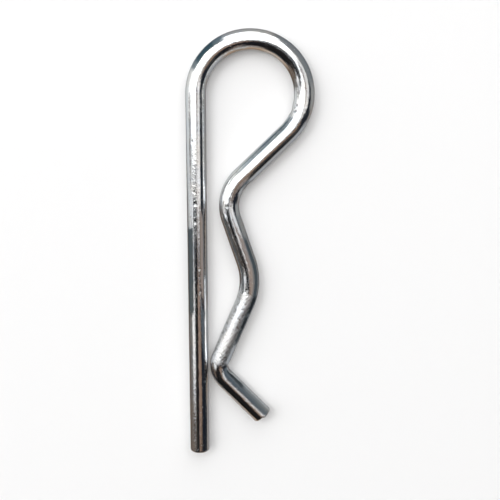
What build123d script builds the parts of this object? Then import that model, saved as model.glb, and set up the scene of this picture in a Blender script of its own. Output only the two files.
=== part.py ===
from build123d import *
import os
from math import cos, radians, sin

# Hairpin cotter pin (R-clip): one length of round spring-steel wire, bent flat.
# The straight leg goes through a cross hole in a shaft. The wavy leg springs over
# the outside of the shaft and holds it in its belly.
#
# Frame, in millimetres: the wire's centreline lies in the XY plane and +Z is up.
# The straight leg runs along Y, with the loop at +Y and both free ends at -Y.
# The origin is on the leg's axis, level with the belly's crest, which is where
# the axis of the shaft crosses the leg.

# ---- driving dimensions -------------------------------------------------------
wire_d = 3.5            # wire diameter
leg_length = 65.5       # straight leg, from the free end to the start of the loop
loop_bore = 15.0        # mandrel that the loop is coiled round

waist_gap = 2.2         # leg surface to the waist, the first inward bend
belly_gap = 5.85        # leg surface to the belly, where the shaft sits
pinch_gap = 0.55        # leg surface to the pinch, the second inward bend

waist_radius = 7.0      # bend radii, on the centreline
belly_radius = 11.0
pinch_radius = 3.8

run_angle = 46.0        # slopes of the straight runs, measured from the leg
waist_run_angle = 18.5  # waist out to belly
belly_run_angle = 22.8  # belly in to pinch
flare_angle = 43.5      # pinch out to the free end
flare_length = 10.1     # straight part of the lead-in flare

tip_bevel = 0.8         # leg's free end: width of the shallow cone round its land
tip_drop = 0.35         # and its fall to the wire's surface
shear_edge = 0.25       # flare's free end: rolled edge of the cut

forming_pin_d = 3.0     # tool pin that marks the inside of two bends
pinch_bite = 0.3        # depth of its mark in the pinch
loop_bite = 0.2         # and in the loop, near its end
loop_mark_turn = 24.0   # how far before the loop's end that mark is centred

# ---- where the bends stand ----------------------------------------------------
wire_r = wire_d / 2
loop_radius = (loop_bore + wire_d) / 2
loop_turn = 180 + run_angle
loop_end_x = loop_radius * (1 + cos(radians(run_angle)))
waist_x = wire_d + waist_gap    # centreline of each bend at its crest
belly_x = wire_d + belly_gap
pinch_x = wire_d + pinch_gap


def straight_length(x_span, angle, *bend_radii):
    """Length of the straight run at this slope, between bends whose crests (or, at
    the loop, whose end) are x_span apart. Each bend uses up part of the span."""
    in_bends = sum(radius * (1 - cos(radians(angle))) for radius in bend_radii)
    return (x_span - in_bends) / sin(radians(angle))


def straight(after, length):
    """A straight run, tangent to the piece of centreline before it."""
    start = after @ 1
    return Line(start, start + (after % 1) * length)


def bend(after, radius, turn):
    """A bend, tangent to the piece before it. A positive turn is anticlockwise."""
    return JernArc(after @ 1, after % 1, radius, turn)


def centreline():
    """The bends and runs in order, from the leg's free end to the flare's, with the
    leg's free end at the origin."""
    run_length = straight_length(loop_end_x - waist_x, run_angle, waist_radius)
    waist_run = straight_length(belly_x - waist_x, waist_run_angle, waist_radius, belly_radius)
    belly_run = straight_length(belly_x - pinch_x, belly_run_angle, belly_radius, pinch_radius)

    leg = Line((0, 0), (0, leg_length))
    loop = bend(leg, loop_radius, -loop_turn)
    run = straight(loop, run_length)
    waist = bend(run, waist_radius, run_angle + waist_run_angle)
    to_belly = straight(waist, waist_run)
    belly = bend(to_belly, belly_radius, -(waist_run_angle + belly_run_angle))
    to_pinch = straight(belly, belly_run)
    pinch = bend(to_pinch, pinch_radius, belly_run_angle + flare_angle)
    flare = straight(pinch, flare_length)
    return leg, loop, run, waist, to_belly, belly, to_pinch, pinch, flare


def pin_mark(arc, along, bite):
    """The forming pin, where it bites into the inside of a bend at this fraction of
    the arc's length."""
    centre = arc.arc_center
    outwards = (arc @ along - centre).normalized()
    inner_radius = arc.radius - wire_r
    pin_centre = centre + outwards * (inner_radius + bite - forming_pin_d / 2)
    return Location(pin_centre) * Cylinder(forming_pin_d / 2, 2 * wire_d)


def r_clip():
    """The wire swept along its centreline, marked by the tools and cut at both ends."""
    pieces = centreline()
    leg, loop, belly, pinch, flare = (pieces[i] for i in (0, 1, 5, 7, 8))
    leg_end = leg @ 0
    flare_end = flare @ 1

    clip = sweep(Plane(origin=leg_end, z_dir=leg % 0) * Circle(wire_r), path=Wire(pieces))
    clip -= pin_mark(loop, 1 - loop_mark_turn / loop_turn, loop_bite)
    clip -= pin_mark(pinch, 0.5, pinch_bite)

    # The leg's tip is a small flat land inside a shallow cone. The flare's is square.
    tip_face = clip.faces().sort_by_distance(leg_end)[0]
    clip = chamfer(tip_face.edges(), tip_bevel, tip_drop, reference=tip_face)
    cut_face = clip.faces().sort_by_distance(flare_end)[0]
    clip = fillet(cut_face.edges(), shear_edge)

    return clip.moved(Location((0, -belly.arc_center.Y, 0)))


os.makedirs("parts", exist_ok=True)
part = r_clip()
part.label = "r_clip"
export_step(part, "parts/r_clip.step")
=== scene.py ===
import math

import bpy
from mathutils import Matrix, Vector


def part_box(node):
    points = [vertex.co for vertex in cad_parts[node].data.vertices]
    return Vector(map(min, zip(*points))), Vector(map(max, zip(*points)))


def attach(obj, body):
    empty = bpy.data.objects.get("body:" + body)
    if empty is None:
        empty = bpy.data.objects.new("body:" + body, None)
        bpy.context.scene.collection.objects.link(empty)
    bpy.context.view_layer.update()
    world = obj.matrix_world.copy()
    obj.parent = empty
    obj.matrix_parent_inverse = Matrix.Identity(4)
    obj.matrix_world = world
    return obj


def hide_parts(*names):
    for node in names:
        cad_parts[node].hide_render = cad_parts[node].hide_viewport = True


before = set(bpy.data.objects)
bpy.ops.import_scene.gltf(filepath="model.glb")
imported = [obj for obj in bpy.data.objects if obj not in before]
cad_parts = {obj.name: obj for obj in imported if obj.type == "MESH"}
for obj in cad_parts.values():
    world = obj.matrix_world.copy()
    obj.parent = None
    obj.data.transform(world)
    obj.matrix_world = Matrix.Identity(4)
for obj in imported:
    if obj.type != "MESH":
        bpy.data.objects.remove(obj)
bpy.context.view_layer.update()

# ---- The bent wire --------------------------------------------------------------
# The whole clip is one length of round spring-steel wire: a straight leg, a round
# loop that is the spring, and a wavy leg that grips the shaft. The wire is drawn
# through a die, cropped, bent flat round forming pins and plated with bright zinc.

MM = 0.001

clip_low, clip_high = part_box("r_clip")
wire_radius = (clip_high.z - clip_low.z) / 2
loop_radius = (clip_high.x - clip_low.x) / 2 - wire_radius
straight_leg = clip_high.y - wire_radius - loop_radius - clip_low.y

waist_gap = 2.1 * MM
belly_gap = 5.65 * MM
pinch_gap = 0.25 * MM
waist_x = 2 * wire_radius + waist_gap
belly_x = 2 * wire_radius + belly_gap
pinch_x = 2 * wire_radius + pinch_gap
waist_radius = 7.0 * MM
belly_radius = 11.0 * MM
pinch_radius = 3.8 * MM
flare_length = 10.1 * MM
run_slope = math.radians(46.0)
waist_slope = math.radians(18.5)
belly_slope = math.radians(22.8)
flare_slope = math.radians(43.5)

forming_pin_radius = 1.5 * MM
pinch_bite = 0.3 * MM
loop_bite = 0.2 * MM
loop_mark_turn = math.radians(24.0)

straight_step = 0.5 * MM
bend_step = 0.05 * MM


class WireRoute:
    """The wire's centreline, laid down as a bending machine feeds and turns the wire."""

    def __init__(self, start, heading):
        self.place = Vector(start)
        self.heading = heading
        self.points = [self.place.copy()]

    def feed(self, length):
        """Straight wire, in short steps."""
        along = Vector((math.cos(self.heading), math.sin(self.heading), 0))
        start = self.place
        steps = math.ceil(length / straight_step)
        for i in range(1, steps + 1):
            self.points.append(start + along * (length * i / steps))
        self.place = self.points[-1]

    def turn(self, radius, angle):
        """A bend of this centreline radius, anticlockwise for a positive angle. Returns its centre."""
        side = math.copysign(radius, angle)
        first = self.heading
        centre = self.place + side * Vector((-math.sin(first), math.cos(first), 0))
        steps = math.ceil(radius * abs(angle) / bend_step)
        for i in range(1, steps + 1):
            self.heading = first + angle * i / steps
            self.points.append(centre + side * Vector((math.sin(self.heading), -math.cos(self.heading), 0)))
        self.place = self.points[-1]
        return centre


def straight_between(crest_distance, slope, *bend_radii):
    """Length of the straight wire between two bends whose crests are this far apart in X."""
    taken_by_bends = sum(radius * (1 - math.cos(slope)) for radius in bend_radii)
    return (crest_distance - taken_by_bends) / math.sin(slope)


route = WireRoute((0, clip_low.y, 0), math.pi / 2)
route.feed(straight_leg)
loop_centre = route.turn(loop_radius, -(math.pi + run_slope))
loop_end = route.place - loop_centre
route.feed(straight_between(route.place.x - waist_x, run_slope, waist_radius))
route.turn(waist_radius, run_slope + waist_slope)
route.feed(straight_between(belly_x - waist_x, waist_slope, waist_radius, belly_radius))
route.turn(belly_radius, -(waist_slope + belly_slope))
route.feed(straight_between(belly_x - pinch_x, belly_slope, belly_radius, pinch_radius))
pinch_start = route.place
pinch_centre = route.turn(pinch_radius, belly_slope + flare_slope)
pinch_end = route.place
route.feed(flare_length)

centreline_curve = bpy.data.curves.new("wire_centreline", "CURVE")
centreline_curve.dimensions = "3D"
centreline_spline = centreline_curve.splines.new("POLY")
centreline_spline.points.add(len(route.points) - 1)
for point, place in zip(centreline_spline.points, route.points):
    point.co = (*place, 1)
wire_blank = bpy.data.objects.new("wire_blank", centreline_curve)
bpy.context.scene.collection.objects.link(wire_blank)


def forming_pin(bend_centre, outward, bend_radius, bite):
    """Axis of the pin that the wire is bent round, sunk into the inside of the bend by the bite."""
    reach = bend_radius - wire_radius + bite - forming_pin_radius
    return bend_centre + outward.normalized() * reach


pinch_middle = (pinch_start + pinch_end) / 2 - pinch_centre
pinch_pin = forming_pin(pinch_centre, pinch_middle, pinch_radius, pinch_bite)
loop_mark = Vector((math.cos(loop_mark_turn) * loop_end.x - math.sin(loop_mark_turn) * loop_end.y,
                    math.sin(loop_mark_turn) * loop_end.x + math.cos(loop_mark_turn) * loop_end.y, 0))
loop_pin = forming_pin(loop_centre, loop_mark, loop_radius, loop_bite)


def add_node(tree, kind, inputs=None, **properties):
    """Adds a node, sets its properties, and sets or links the inputs given by name or number."""
    node = tree.nodes.new(kind)
    for name, value in properties.items():
        setattr(node, name, value)
    for name, value in (inputs or {}).items():
        if isinstance(value, bpy.types.NodeSocket):
            tree.links.new(value, node.inputs[name])
        else:
            node.inputs[name].default_value = value
    return node


def maths(tree, operation, *values):
    """The result of a Math node on numbers or sockets."""
    node = add_node(tree, "ShaderNodeMath", dict(enumerate(values)), operation=operation)
    return node.outputs[0]


def vector_maths(tree, operation, *values):
    """The result of a Vector Math node on vectors or sockets."""
    node = add_node(tree, "ShaderNodeVectorMath", dict(enumerate(values)), operation=operation)
    return node.outputs["Value"] if operation in ("LENGTH", "DISTANCE", "DOT_PRODUCT") else node.outputs[0]


def between(tree, value, from_low, from_high, to_low, to_high):
    """A value moved from one range to another, and kept in it."""
    return add_node(tree, "ShaderNodeMapRange",
                    {"Value": value, "From Min": from_low, "From Max": from_high,
                     "To Min": to_low, "To Max": to_high}).outputs[0]


def shape_curve(tree, value, points):
    """The result of a Float Curve node through these points, both ways from 0 to 1."""
    node = add_node(tree, "ShaderNodeFloatCurve", {"Value": value})
    line = node.mapping.curves[0]
    for x, y in points[1:-1]:
        line.points.new(x, y)
    line.points[0].location = points[0]
    line.points[-1].location = points[-1]
    for point in line.points:
        point.handle_type = "AUTO_CLAMPED"
    node.mapping.update()
    return node.outputs[0]


sweep = bpy.data.node_groups.new("swept_wire", "GeometryNodeTree")
sweep_inputs = {
    "Centreline": ("NodeSocketGeometry", None),
    "Wire radius": ("NodeSocketFloat", wire_radius),
    "Facets round": ("NodeSocketInt", 80),
    "Ring pitch": ("NodeSocketFloat", 0.144 * MM),
    "End rings": ("NodeSocketFloat", 30.0),
    "Leg edge length": ("NodeSocketFloat", 0.5 * MM),
    "Flare edge length": ("NodeSocketFloat", 0.4 * MM),
    "Crop step": ("NodeSocketFloat", 0.26 * MM),
    "Crop way": ("NodeSocketVector", Vector((math.cos(route.heading), math.sin(route.heading), 0))),
    "Pin radius": ("NodeSocketFloat", forming_pin_radius),
    "Pinch pin": ("NodeSocketVector", pinch_pin),
    "Loop pin": ("NodeSocketVector", loop_pin),
    "Drawing ripple": ("NodeSocketFloat", 0.025 * MM),
    "Finish": ("NodeSocketMaterial", None),
}
sockets = {}
for name, (kind, value) in sweep_inputs.items():
    sockets[name] = sweep.interface.new_socket(name, in_out="INPUT", socket_type=kind)
sweep.interface.new_socket("Wire", in_out="OUTPUT", socket_type="NodeSocketGeometry")
given = add_node(sweep, "NodeGroupInput").outputs

# Stations along the wire, close together at both cut ends and one ring pitch apart between.
wire_length = add_node(sweep, "GeometryNodeCurveLength", {"Curve": given["Centreline"]}).outputs[0]
station_number = add_node(sweep, "GeometryNodeInputIndex").outputs[0]
crowding = given["End rings"]
spans = maths(sweep, "ROUND", maths(sweep, "DIVIDE", wire_length, given["Ring pitch"]))
last_number = maths(sweep, "MULTIPLY_ADD", crowding, 2.0, spans)
before_end = maths(sweep, "SUBTRACT", last_number, station_number)


def crowd(number):
    """How far the stations near one end fall behind an even pitch."""
    fade = maths(sweep, "DIVIDE", maths(sweep, "MULTIPLY", number, -1.0), crowding)
    return maths(sweep, "MULTIPLY", crowding, maths(sweep, "EXPONENT", fade))


even_number = maths(sweep, "ADD", maths(sweep, "SUBTRACT", station_number, crowding),
                    maths(sweep, "SUBTRACT", crowd(station_number), crowd(before_end)))
distance = maths(sweep, "MULTIPLY", wire_length, maths(sweep, "DIVIDE", even_number, spans))
distance = add_node(sweep, "ShaderNodeClamp", {"Value": distance, "Max": wire_length}).outputs[0]
to_end = maths(sweep, "SUBTRACT", wire_length, distance)

ring_line = add_node(sweep, "GeometryNodeCurvePrimitiveLine").outputs[0]
station_count = maths(sweep, "ADD", last_number, 1.0)
ring_line = add_node(sweep, "GeometryNodeResampleCurve",
                     {"Curve": ring_line, "Count": station_count}, mode="COUNT").outputs[0]
station = add_node(sweep, "GeometryNodeSampleCurve", {"Curves": given["Centreline"], "Length": distance},
                   mode="LENGTH", data_type="FLOAT")
captured = add_node(sweep, "GeometryNodeCaptureAttribute", {"Geometry": ring_line}, domain="POINT")
captured.capture_items.new("FLOAT", "Distance")
captured.capture_items.new("FLOAT", "End share")
sweep.links.new(distance, captured.inputs["Distance"])
rings = add_node(sweep, "GeometryNodeSetPosition",
                 {"Geometry": captured.outputs["Geometry"],
                  "Position": station.outputs["Position"]}).outputs[0]
rings = add_node(sweep, "GeometryNodeSetCurveNormal", {"Curve": rings}, mode="Z_UP").outputs[0]

# Both cut ends: a slightly domed face with a rounded edge, which is wider on the leg. Each profile
# gives the share of the edge's length and then the share of the wire's radius.
leg_end_profile = (
    (0, 0), (0.004, 0.12), (0.018, 0.25), (0.042, 0.38), (0.075, 0.5), (0.115, 0.62),
    (0.17, 0.74), (0.24, 0.83), (0.36, 0.905), (0.55, 0.96), (0.75, 0.988), (1, 1),
)
flare_end_profile = (
    (0, 0), (0.004, 0.15), (0.018, 0.31), (0.042, 0.47), (0.075, 0.61), (0.115, 0.74),
    (0.17, 0.85), (0.24, 0.91), (0.36, 0.95), (0.6, 0.985), (1, 1),
)
into_leg_edge = maths(sweep, "DIVIDE", distance, given["Leg edge length"])
leg_end_share = shape_curve(sweep, into_leg_edge, leg_end_profile)
into_flare_edge = maths(sweep, "DIVIDE", to_end, given["Flare edge length"])
flare_end_share = shape_curve(sweep, into_flare_edge, flare_end_profile)
sweep.links.new(maths(sweep, "MINIMUM", leg_end_share, flare_end_share), captured.inputs["End share"])
circle = add_node(sweep, "GeometryNodeCurvePrimitiveCircle",
                  {"Resolution": given["Facets round"], "Radius": given["Wire radius"]}).outputs[0]
section = add_node(sweep, "GeometryNodeCaptureAttribute", {"Geometry": circle}, domain="POINT")
section.capture_items.new("VECTOR", "Across")
sweep.links.new(add_node(sweep, "GeometryNodeInputPosition").outputs[0], section.inputs["Across"])
skin = add_node(sweep, "GeometryNodeCurveToMesh",
                {"Curve": rings, "Profile Curve": section.outputs["Geometry"],
                 "Scale": captured.outputs["End share"]}).outputs[0]

across = add_node(sweep, "ShaderNodeSeparateXYZ", {"Vector": section.outputs["Across"]}).outputs
wire_space = add_node(sweep, "ShaderNodeCombineXYZ",
                      {"X": across["X"], "Y": across["Y"], "Z": captured.outputs["Distance"]}).outputs[0]
skin = add_node(sweep, "GeometryNodeStoreNamedAttribute",
                {"Geometry": skin, "Name": "wire_space", "Value": wire_space},
                data_type="FLOAT_VECTOR", domain="POINT").outputs[0]
cut_face = between(sweep, captured.outputs["End share"], 0.97, 0.84, 0.0, 1.0)
skin = add_node(sweep, "GeometryNodeStoreNamedAttribute",
                {"Geometry": skin, "Name": "cut_face", "Value": cut_face},
                data_type="FLOAT", domain="POINT").outputs[0]
merge_distance = 0.0001 * MM
skin = add_node(sweep, "GeometryNodeMergeByDistance",
                {"Geometry": skin, "Distance": merge_distance}).outputs[0]

stored = add_node(sweep, "GeometryNodeInputNamedAttribute", {"Name": "wire_space"},
                  data_type="FLOAT_VECTOR").outputs[0]
on_wire = add_node(sweep, "ShaderNodeSeparateXYZ", {"Vector": stored}).outputs


def scaled(tree, vector, scale):
    """A vector times a number, either of them a socket."""
    node = add_node(tree, "ShaderNodeVectorMath", {"Scale": scale}, operation="SCALE")
    tree.links.new(vector, node.inputs[0])
    return node.outputs[0]


def eased(tree, value, none_at, full_at):
    """A smooth step from 0 to 1 between these values."""
    return add_node(tree, "ShaderNodeMapRange", {"Value": value, "From Min": none_at, "From Max": full_at},
                    interpolation_type="SMOOTHSTEP").outputs[0]


# The flare's crop: the shears sank into the inner side first, so that side stops a little short.
inner_side = eased(sweep, on_wire["X"], none_at=-0.36 * MM, full_at=-0.16 * MM)
from_crop = maths(sweep, "SUBTRACT", wire_length, on_wire["Z"])
near_crop = eased(sweep, from_crop, none_at=1.2 * MM, full_at=0.2 * MM)
crop = maths(sweep, "MULTIPLY", maths(sweep, "MULTIPLY", inner_side, near_crop), given["Crop step"])
cut_back = scaled(sweep, given["Crop way"], maths(sweep, "MULTIPLY", crop, -1.0))
skin = add_node(sweep, "GeometryNodeSetPosition", {"Geometry": skin, "Offset": cut_back}).outputs[0]

# Dents from the bending tools and from tumbling in the plating drum, each listed here. Each is a
# shallow oval hollow: distance along the wire in millimetres, turn in degrees from the top towards the
# inner side, then half length, half width and depth in millimetres.
dents = (
    (96.5, 41, 0.22, 0.40, 0.055), (97.6, 38, 0.30, 0.45, 0.055), (97.05, 46, 0.22, 0.30, 0.030),
    (95.6, 40, 0.70, 0.12, 0.035),
    (115.3, 26, 0.38, 0.30, 0.030), (118.4, 12, 0.30, 0.35, 0.010), (119.1, 22, 0.45, 0.30, 0.010),
    (3.40, 33, 0.24, 0.26, 0.030), (14.1, 38, 0.20, 0.50, 0.040), (31.0, 17, 0.40, 0.26, 0.022),
    (35.2, 14, 0.32, 0.24, 0.020), (43.6, -10, 0.45, 0.26, 0.020), (46.8, -9, 0.40, 0.24, 0.024),
    (48.9, -11, 0.30, 0.24, 0.018), (57.6, -22, 0.30, 0.24, 0.020), (95.6, -37, 0.20, 0.34, 0.024),
    (83.0, 14, 0.30, 0.24, 0.022), (134.0, 6, 0.34, 0.30, 0.015), (137.5, -31, 0.36, 0.30, 0.028),
    (141.3, -32, 0.42, 0.32, 0.030), (143.0, -27, 0.28, 0.26, 0.024), (145.9, -22, 0.30, 0.24, 0.018),
    (152.8, 38, 0.26, 0.42, 0.050), (157.6, -8, 0.28, 0.24, 0.020), (126.4, -20, 0.36, 0.26, 0.020),
)
turn_round = maths(sweep, "ARCTAN2", on_wire["X"], maths(sweep, "MULTIPLY", on_wire["Y"], -1.0))
sunk = 0.0
for along, turn, half_length, half_width, depth in dents:
    u = maths(sweep, "DIVIDE", maths(sweep, "SUBTRACT", on_wire["Z"], along * MM), half_length * MM)
    turned = maths(sweep, "SUBTRACT", turn_round, math.radians(turn))
    arc = maths(sweep, "MULTIPLY", turned, given["Wire radius"])
    v = maths(sweep, "DIVIDE", arc, half_width * MM)
    rim = maths(sweep, "MULTIPLY_ADD", u, u, maths(sweep, "MULTIPLY", v, v))
    hollow = eased(sweep, rim, none_at=1.3, full_at=0.0)
    sunk = maths(sweep, "MULTIPLY_ADD", hollow, depth * MM, sunk)
skin = add_node(sweep, "GeometryNodeStoreNamedAttribute",
                {"Geometry": skin, "Name": "dent_depth", "Value": sunk},
                data_type="FLOAT", domain="POINT").outputs[0]

# Ripple left by the drawing die: slow swells along the wire, always into the metal.
swell_place = vector_maths(sweep, "MULTIPLY", stored, (0.6 / MM, 0.6 / MM, 0.25 / MM))
swell = add_node(sweep, "ShaderNodeTexNoise",
                 {"Vector": swell_place, "Scale": 1.0, "Detail": 2.0}).outputs[0]
dent_depth = add_node(sweep, "GeometryNodeInputNamedAttribute", {"Name": "dent_depth"},
                      data_type="FLOAT").outputs[0]
inward = maths(sweep, "MULTIPLY_ADD", swell, given["Drawing ripple"], dent_depth)
outwards = add_node(sweep, "GeometryNodeInputNormal").outputs[0]
sinking = scaled(sweep, outwards, maths(sweep, "MULTIPLY", inward, -1.0))
skin = add_node(sweep, "GeometryNodeSetPosition", {"Geometry": skin, "Offset": sinking}).outputs[0]

# The forming pins' marks: metal that would be inside a pin is pushed out to its surface.
for pin in ("Pinch pin", "Loop pin"):
    place = add_node(sweep, "GeometryNodeInputPosition").outputs[0]
    level = vector_maths(sweep, "MULTIPLY", place, (0.0, 0.0, 1.0))
    axis = vector_maths(sweep, "ADD", given[pin], level)
    arm = vector_maths(sweep, "SUBTRACT", place, axis)
    overlap = maths(sweep, "SUBTRACT", given["Pin radius"], vector_maths(sweep, "LENGTH", arm))
    push = scaled(sweep, vector_maths(sweep, "NORMALIZE", arm), maths(sweep, "MAXIMUM", overlap, 0.0))
    skin = add_node(sweep, "GeometryNodeSetPosition", {"Geometry": skin, "Offset": push}).outputs[0]

skin = add_node(sweep, "GeometryNodeSetShadeSmooth", {"Geometry": skin}).outputs[0]
skin = add_node(sweep, "GeometryNodeRealizeInstances", {"Geometry": skin}).outputs[0]
skin = add_node(sweep, "GeometryNodeSetMaterial", {"Geometry": skin, "Material": given["Finish"]}).outputs[0]
add_node(sweep, "NodeGroupOutput", {"Wire": skin})

# Bright zinc plate: fine lines along the wire from the drawing die, small pits, a faint cool
# and warm tint that wanders, bare cropped steel on the two cut ends, and painted shade in the deepest dents.
zinc_plate = bpy.data.materials.new("zinc_plate")
zinc_plate.use_nodes = True
plate = zinc_plate.node_tree
plate.nodes.clear()


def noise(tree, place, stretch, detail, roughness):
    """Noise in a space stretched by this much along each axis."""
    stretched = vector_maths(tree, "MULTIPLY", place, stretch)
    return add_node(tree, "ShaderNodeTexNoise", {"Vector": stretched, "Scale": 1.0, "Detail": detail,
                                                 "Roughness": roughness}).outputs[0]


MICRON = MM / 1000
along_wire = add_node(plate, "ShaderNodeAttribute", attribute_name="wire_space").outputs["Vector"]
place_on_wire = add_node(plate, "ShaderNodeSeparateXYZ", {"Vector": along_wire}).outputs
cut_face = add_node(plate, "ShaderNodeAttribute", attribute_name="cut_face").outputs["Fac"]
dent_depth = add_node(plate, "ShaderNodeAttribute", attribute_name="dent_depth").outputs["Fac"]
dented = between(plate, dent_depth, 4 * MICRON, 30 * MICRON, 0.0, 1.0)
# The deepest dents are painted dark: bare steel, and painted shade in the hollow.
deep_dent_steel_and_shade = between(plate, dent_depth, 35 * MICRON, 60 * MICRON, 0.0, 0.9)

wide_lines = noise(plate, along_wire, (3.0 / MM, 3.0 / MM, 0.07 / MM), 3.0, 0.6)
hair_lines = noise(plate, along_wire, (9.0 / MM, 9.0 / MM, 0.15 / MM), 2.0, 0.5)
grain = noise(plate, along_wire, (2.9 / MM, 2.9 / MM, 1.7 / MM), 3.0, 0.6)
mottle = noise(plate, along_wire, (2.1 / MM, 2.1 / MM, 1.9 / MM), 3.0, 0.65)
patches = noise(plate, along_wire, (0.45 / MM, 0.45 / MM, 0.22 / MM), 3.0, 0.55)
pitting = noise(plate, along_wire, (3.4 / MM, 3.4 / MM, 2.6 / MM), 1.0, 0.5)
unpitted = between(plate, pitting, 0.25, 0.33, 0.0, 1.0)

# The stretch between belly and pinch was rubbed satin by the bending tool, but for its outermost side.
rub_begins = eased(plate, place_on_wire["Z"], none_at=134.5 * MM, full_at=135.3 * MM)
rub_ends = eased(plate, place_on_wire["Z"], none_at=149.8 * MM, full_at=148.4 * MM)
rub_side = eased(plate, place_on_wire["X"], none_at=-0.72 * wire_radius, full_at=-0.45 * wire_radius)
rubbed = maths(plate, "MULTIPLY", maths(plate, "MULTIPLY", rub_begins, rub_ends), rub_side)
rubbed = maths(plate, "MULTIPLY", rubbed, between(plate, mottle, 0.36, 0.56, 0.55, 1.0))

# Colour: cool and warm zinc, dull specks where rubbed, dark bare steel on the cut ends, and dark steel with
# painted shade in the deep dents.
warmth = between(plate, patches, 0.35, 0.65, 0.0, 1.0)
tint = add_node(plate, "ShaderNodeMix", {"Factor": warmth}, data_type="RGBA")
tint.inputs["A"].default_value = (0.76, 0.79, 0.83, 1)
tint.inputs["B"].default_value = (0.82, 0.81, 0.79, 1)
specks = maths(plate, "MULTIPLY", rubbed, between(plate, mottle, 0.40, 0.52, 1.0, 0.0))
dulled = add_node(plate, "ShaderNodeMix", {"Factor": specks, "A": tint.outputs["Result"]}, data_type="RGBA")
dulled.inputs["B"].default_value = (0.48, 0.48, 0.46, 1)
# Painted shade: the deep dents take the dark steel colour as shade in the hollow, as well as bare steel; the
# cut ends are bare steel.
bare_steel_and_dent_shade = maths(plate, "MAXIMUM", cut_face, deep_dent_steel_and_shade)
dark_steel_and_dent_shade = add_node(plate, "ShaderNodeMix", {"Factor": bare_steel_and_dent_shade, "A": dulled.outputs["Result"]},
                 data_type="RGBA")
dark_steel_and_dent_shade.inputs["B"].default_value = (0.10, 0.095, 0.09, 1)

# Roughness: it varies with the lines and patches, and rises in pits and dents, on the cut ends and
# where rubbed.
line_gloss = between(plate, wide_lines, 0.3, 0.7, 0.09, 0.16)
patch_gloss = between(plate, patches, 0.35, 0.7, 0.0, 0.04)
gloss = maths(plate, "ADD", line_gloss, patch_gloss)
pitted = maths(plate, "SUBTRACT", 1.0, unpitted)
gloss = maths(plate, "ADD", gloss, maths(plate, "MULTIPLY", pitted, 0.12))
gloss = maths(plate, "MULTIPLY_ADD", dented, 0.10, gloss)
gloss = maths(plate, "MULTIPLY_ADD", cut_face, 0.18, gloss)
gloss = maths(plate, "MULTIPLY_ADD", rubbed, 0.24, gloss)

# Relief: the drawing lines, a grain that is coarser in the wavy leg, scuffs where rubbed, and the pits.
relief = maths(plate, "ADD", maths(plate, "MULTIPLY", wide_lines, 6 * MICRON),
               maths(plate, "MULTIPLY", hair_lines, 2 * MICRON))
in_wavy_leg = eased(plate, place_on_wire["Z"], none_at=117 * MM, full_at=122 * MM)
coarseness = maths(plate, "MULTIPLY_ADD", in_wavy_leg, 0.6, 1.0)
grain_height = between(plate, patches, 0.35, 0.65, 12 * MICRON, 24 * MICRON)
grain_height = maths(plate, "MULTIPLY", coarseness, grain_height)
relief = maths(plate, "ADD", relief, maths(plate, "MULTIPLY", grain, grain_height))
scuffs = maths(plate, "ADD", maths(plate, "MULTIPLY", mottle, 58 * MICRON),
               maths(plate, "MULTIPLY", grain, 34 * MICRON))
outer_side = eased(plate, place_on_wire["X"], none_at=0.45 * wire_radius, full_at=-0.10 * wire_radius)
scuffs = maths(plate, "MULTIPLY", scuffs, maths(plate, "MULTIPLY_ADD", outer_side, 0.6, 0.4))
relief = maths(plate, "ADD", relief, maths(plate, "MULTIPLY", rubbed, scuffs))
relief = maths(plate, "ADD", relief, maths(plate, "MULTIPLY", unpitted, 6 * MICRON))
bump = add_node(plate, "ShaderNodeBump", {"Height": relief, "Strength": 1.0, "Distance": 1.0}).outputs[0]
zinc = add_node(plate, "ShaderNodeBsdfPrincipled",
                {"Base Color": dark_steel_and_dent_shade.outputs["Result"], "Metallic": 1.0, "Roughness": gloss, "Normal": bump,
                 "Specular Tint": (0.5, 0.51, 0.53, 1)})
add_node(plate, "ShaderNodeOutputMaterial", {"Surface": zinc.outputs[0]})

sweep_inputs["Finish"] = ("NodeSocketMaterial", zinc_plate)
bending = wire_blank.modifiers.new("swept_wire", "NODES")
bending.node_group = sweep
for name, (kind, value) in sweep_inputs.items():
    if value is not None:
        bending[sockets[name].identifier] = value

view_layer_graph = bpy.context.evaluated_depsgraph_get()
wire_mesh = bpy.data.meshes.new_from_object(wire_blank.evaluated_get(view_layer_graph))
wire_mesh.name = "bent_wire"
bpy.data.objects.remove(wire_blank)
bent_wire = bpy.data.objects.new("bent_wire", wire_mesh)
bpy.context.scene.collection.objects.link(bent_wire)

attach(bent_wire, "root")
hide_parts("r_clip")

# ---- The floor and backdrop -----------------------------------------------------
# A pale matt table top under the clip, and a plain pale backdrop far behind it that
# only the camera sees.

table_reach = 1.0
table_corners = 96
table_rim = [Vector((table_reach, 0, clip_low.z)) for corner in range(table_corners)]
for corner, place in enumerate(table_rim):
    place.rotate(Matrix.Rotation(math.tau * corner / table_corners, 3, "Z"))
table_mesh = bpy.data.meshes.new("table_top")
table_mesh.from_pydata(table_rim, [], [tuple(range(table_corners))])
table_top = bpy.data.objects.new("table_top", table_mesh)
bpy.context.scene.collection.objects.link(table_top)
table_paint = bpy.data.materials.new("table_paint")
table_paint.use_nodes = True
table_shader = table_paint.node_tree.nodes["Principled BSDF"]
table_shader.inputs["Base Color"].default_value = (0.88, 0.88, 0.88, 1)
table_shader.inputs["Roughness"].default_value = 0.8
table_mesh.materials.append(table_paint)
table_top.visible_glossy = False


def glowing(name, colour, brightness):
    """A material that gives out this light."""
    material = bpy.data.materials.new(name)
    material.use_nodes = True
    material.node_tree.nodes.clear()
    glow = add_node(material.node_tree, "ShaderNodeEmission",
                    {"Color": (*colour, 1), "Strength": brightness})
    add_node(material.node_tree, "ShaderNodeOutputMaterial", {"Surface": glow.outputs[0]})
    return material


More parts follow.
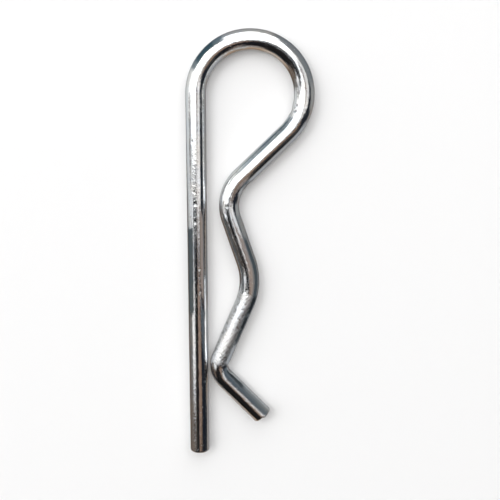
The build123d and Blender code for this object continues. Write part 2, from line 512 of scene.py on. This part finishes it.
backdrop_reach = 3.2
backdrop_segments = 48
backdrop_rings = 24
bpy.ops.mesh.primitive_uv_sphere_add(segments=backdrop_segments, ring_count=backdrop_rings,
                                     radius=backdrop_reach)
backdrop = bpy.context.object
backdrop.name = "backdrop"
backdrop.data.materials.append(glowing("backdrop_paper", (0.9, 0.9, 0.9), 1.0))
for ray in ("diffuse", "glossy", "transmission", "volume_scatter", "shadow"):
    setattr(backdrop, "visible_" + ray, False)

# ---- The light ------------------------------------------------------------------
# Soft studio light: a large softbox overhead that reaches far back and to the left, strips and
# softboxes at the left, the back and the right, and dim cards towards the front. Cards close
# beside the wire light nothing: they show only in its gloss, as its light and dark bands.

roof = 1.6
left_wall = -2.6
left_wall_top = 1.4


def panel(name, corners, brightness, colour=(1, 1, 1), lights=True):
    """A flat panel, unseen by the camera. One that lights nothing shows only in gloss."""
    mesh = bpy.data.meshes.new(name)
    mesh.from_pydata(corners, [], [tuple(range(len(corners)))])
    mesh.materials.append(glowing(name, colour, brightness))
    thing = bpy.data.objects.new(name, mesh)
    thing.visible_camera = False
    if not lights:
        thing.visible_diffuse = False
        thing.visible_shadow = False
    bpy.context.scene.collection.objects.link(thing)


def overhead(*places, drop=0.0):
    """Corners near the roof, from how far each lies to the right and back for every metre up."""
    return [(x * roof, y * roof, roof - drop) for x, y in places]


def at_left(front, back, low):
    """Corners of an upright panel on the left wall, from this height to the wall's top."""
    outline = ((front, low), (back, low), (back, left_wall_top), (front, left_wall_top))
    return [(left_wall, y, z) for y, z in outline]


panel("overhead_softbox",
      overhead((0.03, -0.11), (0.74, 0.47), (1.1, 1.6), (-0.62, 1.6), (-0.74, 1.0), (-1.15, 1.05),
               (-1.88, 1.15), (-1.88, -0.1), (-1.1, -0.18), (-0.8, -0.19), (-0.3, -0.15),
               (0.0, -0.125)), 2.3)
panel("left_grey", overhead((-1.1, -0.18), (-1.88, -0.1), (-1.88, -0.33), (-1.1, -0.25)), 0.42)
panel("left_narrow", overhead((-1.1, -0.25), (-1.88, -0.36), (-1.88, -0.52), (-0.97, -0.34)), 1.2)
panel("left_narrow_low", at_left(-0.62, -0.46, 0.02), 1.0)
panel("key_light", overhead((-0.75, 0.3), (-0.4, 0.3), (-0.4, 0.65), (-0.75, 0.65), drop=0.02), 8.0)
panel("left_strip", overhead((-0.76, -0.36), (-1.88, -0.62), (-1.88, -0.85), (-0.76, -0.48)), 1.45)
panel("left_brown_card",
      overhead((-0.6, -0.47), (-0.97, -0.58), (-1.7, -0.86), (-1.7, -1.0), (-0.97, -0.7), (-0.6, -0.58)),
      1.0, (0.11, 0.085, 0.065))
panel("left_softbox", at_left(-0.22, 1.0, 0.1), 1.3)
panel("left_low_strip", at_left(-1.1, -0.8, 0.75), 1.2)
panel("back_softbox", [(-1.3, 2.6, 0.1), (1.5, 2.6, 0.1), (1.5, 2.6, 1.6), (-1.3, 2.6, 1.6)], 1.8)
panel("right_strip", overhead((0.03, -0.12), (0.06, -0.2), (0.5, -0.25), (1.0, -0.34), (1.0, -0.1)),
      1.2, (1.0, 0.97, 0.95))
panel("right_card", overhead((0.12, -0.09), (0.42, -0.09), (0.6, 0.25), (0.4, 0.16)),
      1.0, (0.24, 0.19, 0.165))
panel("right_softbox",
      overhead((0.42, -0.09), (1.5, -0.12), (1.35, 0.7), (1.1, 1.6), (0.74, 0.47), (0.6, 0.25)), 0.85)
panel("front_right_card",
      overhead((0.3, -0.53), (0.72, -0.6), (1.7, -1.25), (1.6, -1.55), (0.6, -0.8), (0.3, -0.58)), 0.05)
panel("brown_card", overhead((0.26, -0.34), (0.55, -0.36), (0.68, -0.55), (0.27, -0.5)),
      1.0, (0.34, 0.22, 0.15))
panel("small_card", overhead((0.03, -0.52), (0.26, -0.5), (0.24, -0.28), (0.05, -0.24), (0.01, -0.3)),
      1.0, (0.40, 0.275, 0.21))


def close_card(name, start, end, *bands):
    """An upright card beside the wire, between two places on the table. Each band has a bottom, a top
    and a colour. Places and heights are in millimetres."""
    for low, high, colour in bands:
        corners = [(*start, low), (*end, low), (*end, high), (*start, high)]
        panel(name, [(x * MM, y * MM, z * MM) for x, y, z in corners], 1.0, colour, lights=False)


close_card("shoulder_card", (-23.7, 45.4), (-20.026, 49.404), (-30, 14, (0.20, 0.25, 0.28)))
close_card("shoulder_card", (-20.026, 49.404), (-11.175, 59.05), (-30, 14, (0.04, 0.085, 0.115)))
close_card("shoulder_card", (-11.175, 59.05), (-7, 63.6), (-30, 14, (0.13, 0.18, 0.21)))
loop_card_height = 20
loop_card_corners = ((10.5, 41.5), (16, 43), (19.5, 39.5), (17, 35), (12.5, 33.5))
panel("loop_card", [(x * MM, y * MM, loop_card_height * MM) for x, y in loop_card_corners],
      1.0, (0.11, 0.115, 0.12), lights=False)
close_card("belly_card", (15.6, -5.5), (13.6, -13.5), (-4, 3.4, (0.022, 0.026, 0.030)))
close_card("belly_card", (13.6, -13.5), (12.8, -17), (-4, 3.4, (0.055, 0.065, 0.073)))
close_card("leg_card", (-8, -8), (-8, 8.5), (-4, 7.5, (0.085, 0.10, 0.105)))
close_card("flare_card", (13, -9), (25, -23),
           (-30, -6, (0.5, 0.52, 0.52)), (-6, 2, (0.22, 0.235, 0.24)),
           (2, 9, (0.13, 0.15, 0.165)), (9, 30, (0.085, 0.105, 0.125)))
close_card("waist_card", (16, -8), (16, 9),
           (-30, -1.5, (0.25, 0.25, 0.245)), (-1.5, 4.5, (0.07, 0.085, 0.095)),
           (4.5, 7.5, (0.2, 0.2, 0.2)), (7.5, 20, (0.33, 0.27, 0.235)), (20, 30, (0.2, 0.15, 0.12)))

world = bpy.data.worlds.new("studio_surround")
world.use_nodes = True
surround = world.node_tree
surround.nodes.clear()
outwards = add_node(surround, "ShaderNodeTexCoord").outputs["Generated"]
height = add_node(surround, "ShaderNodeSeparateXYZ", {"Vector": outwards}).outputs["Z"]
level_way = vector_maths(surround, "MULTIPLY", outwards, (1.0, 1.0, 0.0))
level_way = vector_maths(surround, "NORMALIZE", level_way)
card_edge = math.radians(4.0)


def hang_card(behind, way, half_width, lowest, highest, colour):
    """A soft-edged card far off, this way round from +X and over these elevations, in degrees."""
    toward = (math.cos(math.radians(way)), math.sin(math.radians(way)), 0.0)
    reach = math.radians(half_width)
    bottom = math.radians(lowest)
    top = math.radians(highest)
    across_it = between(surround, vector_maths(surround, "DOT_PRODUCT", level_way, toward),
                        math.cos(reach + card_edge), math.cos(reach - card_edge), 0.0, 1.0)
    over_bottom = between(surround, height,
                          math.sin(bottom - card_edge), math.sin(bottom + card_edge), 0.0, 1.0)
    under_top = between(surround, height,
                        math.sin(top - card_edge), math.sin(top + card_edge), 1.0, 0.0)
    seen = maths(surround, "MULTIPLY", across_it, maths(surround, "MULTIPLY", over_bottom, under_top))
    mix = add_node(surround, "ShaderNodeMix", {"Factor": seen, "A": behind}, data_type="RGBA")
    mix.inputs["B"].default_value = (*colour, 1)
    return mix.outputs["Result"]


low_down = between(surround, height, 0.35, 0.0, 0.0, 1.0)
sky = add_node(surround, "ShaderNodeMix", {"Factor": low_down}, data_type="RGBA")
sky.inputs["A"].default_value = (0.008, 0.008, 0.010, 1)
sky.inputs["B"].default_value = (0.38, 0.34, 0.31, 1)
sky = hang_card(sky.outputs["Result"], 258, 42, -80, 4, (0.46, 0.345, 0.25))
sky = hang_card(sky, 200, 7, -80, 14, (0.16, 0.155, 0.15))
sky = hang_card(sky, 212, 8, -80, 24, (0.17, 0.125, 0.095))
sky = hang_card(sky, 242, 12, -80, -14, (0.58, 0.50, 0.43))
sky = hang_card(sky, 238, 16, -4, 70, (0.010, 0.009, 0.009))
sky = hang_card(sky, -45, 14, -80, 6, (0.42, 0.43, 0.44))
sky = hang_card(sky, -24, 7, -14, 12, (0.012, 0.015, 0.020))
sky = hang_card(sky, -31, 15, 8, 60, (0.010, 0.013, 0.020))
sky = hang_card(sky, -54, 10, 14, 60, (0.008, 0.010, 0.013))
sky = hang_card(sky, -5, 12, 12, 46, (0.014, 0.018, 0.026))
sky = hang_card(sky, -5, 12, -60, 12, (0.34, 0.34, 0.33))
sky = hang_card(sky, 36, 31, -80, 32, (0.21, 0.225, 0.235))
sky = hang_card(sky, 90, 22, -80, 10, (0.42, 0.42, 0.41))
sky = hang_card(sky, 163, 30, -80, 4, (0.78, 0.80, 0.80))
sky = hang_card(sky, 144, 12, 0, 34, (0.60, 0.64, 0.67))
sky = hang_card(sky, 122, 10, -60, 32, (0.36, 0.38, 0.39))
background = add_node(surround, "ShaderNodeBackground", {"Color": sky, "Strength": 1.0})
add_node(surround, "ShaderNodeOutputWorld", {"Surface": background.outputs[0]})
bpy.context.scene.world = world
bpy.context.scene.view_settings.view_transform = "Standard"

# ---- The camera -----------------------------------------------------------------
# It looks down on the clip from 180 mm, leaning a little towards the loop.

camera_distance = 180 * MM
camera_lean = math.radians(14.0)
clip_middle = (clip_low + clip_high) / 2
towards_camera = Vector((0, math.sin(camera_lean), math.cos(camera_lean)))
camera = bpy.data.objects.new("camera", bpy.data.cameras.new("camera"))
camera.data.lens = 73.5
camera.data.sensor_width = 36
camera.data.clip_start = 0.01
camera.location = clip_middle + towards_camera * camera_distance
camera.rotation_euler = (-camera_lean, 0, 0)
bpy.context.scene.collection.objects.link(camera)
bpy.context.scene.camera = camera
